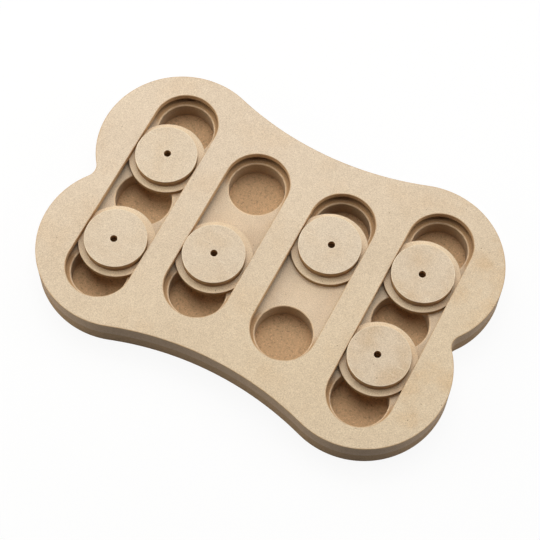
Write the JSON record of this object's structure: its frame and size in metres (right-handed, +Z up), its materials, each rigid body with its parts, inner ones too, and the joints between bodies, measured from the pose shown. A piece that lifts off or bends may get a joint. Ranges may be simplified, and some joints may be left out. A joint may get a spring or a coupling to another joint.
{
  "type": "dog puzzle feeder toy",
  "caption": "Bone-shaped MDF treat puzzle: captive round sliders run in undercut slots and cover or uncover round treat cups.",
  "frame": {"origin": "middle of the underside of the base board, on the surface that the toy lies on", "axes": "+X along the length of the bone; +Y along the slots, away from the viewer; +Z up, out of the slots"},
  "size_m": [0.3, 0.2, 0.027],
  "materials": {
    "mdf_base": "sanded MDF, with sawn side walls and bored cups of a browner tone",
    "mdf_top": "sanded MDF face with fine speckle and sawn edges",
    "mdf_guide": "sanded MDF face with sawn edges",
    "mdf_grip": "sanded MDF face with light handling marks and sawn edges"
  },
  "bodies": {
    "board": {"base_board": "mdf_base", "top_plate": "mdf_top"},
    "slider_1": {"slider_1_guide_disc": "mdf_guide", "slider_1_grip_disc": "mdf_grip"},
    "slider_2": {"slider_2_guide_disc": "mdf_guide", "slider_2_grip_disc": "mdf_grip"},
    "slider_3": {"slider_3_guide_disc": "mdf_guide", "slider_3_grip_disc": "mdf_grip"},
    "slider_4": {"slider_4_guide_disc": "mdf_guide", "slider_4_grip_disc": "mdf_grip"},
    "slider_5": {"slider_5_guide_disc": "mdf_guide", "slider_5_grip_disc": "mdf_grip"},
    "slider_6": {"slider_6_guide_disc": "mdf_guide", "slider_6_grip_disc": "mdf_grip"}
  },
  "joints": [
    {"name": "slider_1_slide", "type": "slide", "parent": "board", "child": "slider_1", "axis": [0, 1, 0], "range_m": [-0.018, 0.0279]},
    {"name": "slider_2_slide", "type": "slide", "parent": "board", "child": "slider_2", "axis": [0, 1, 0], "range_m": [-0.0222, 0.018]},
    {"name": "slider_3_slide", "type": "slide", "parent": "board", "child": "slider_3", "axis": [0, 1, 0], "range_m": [-0.0252, 0.0611]},
    {"name": "slider_4_slide", "type": "slide", "parent": "board", "child": "slider_4", "axis": [0, 1, 0], "range_m": [-0.0675, 0.0188]},
    {"name": "slider_5_slide", "type": "slide", "parent": "board", "child": "slider_5", "axis": [0, 1, 0], "range_m": [-0.014, 0.026]},
    {"name": "slider_6_slide", "type": "slide", "parent": "board", "child": "slider_6", "axis": [0, 1, 0], "range_m": [-0.0288, 0.014]}
  ]
}
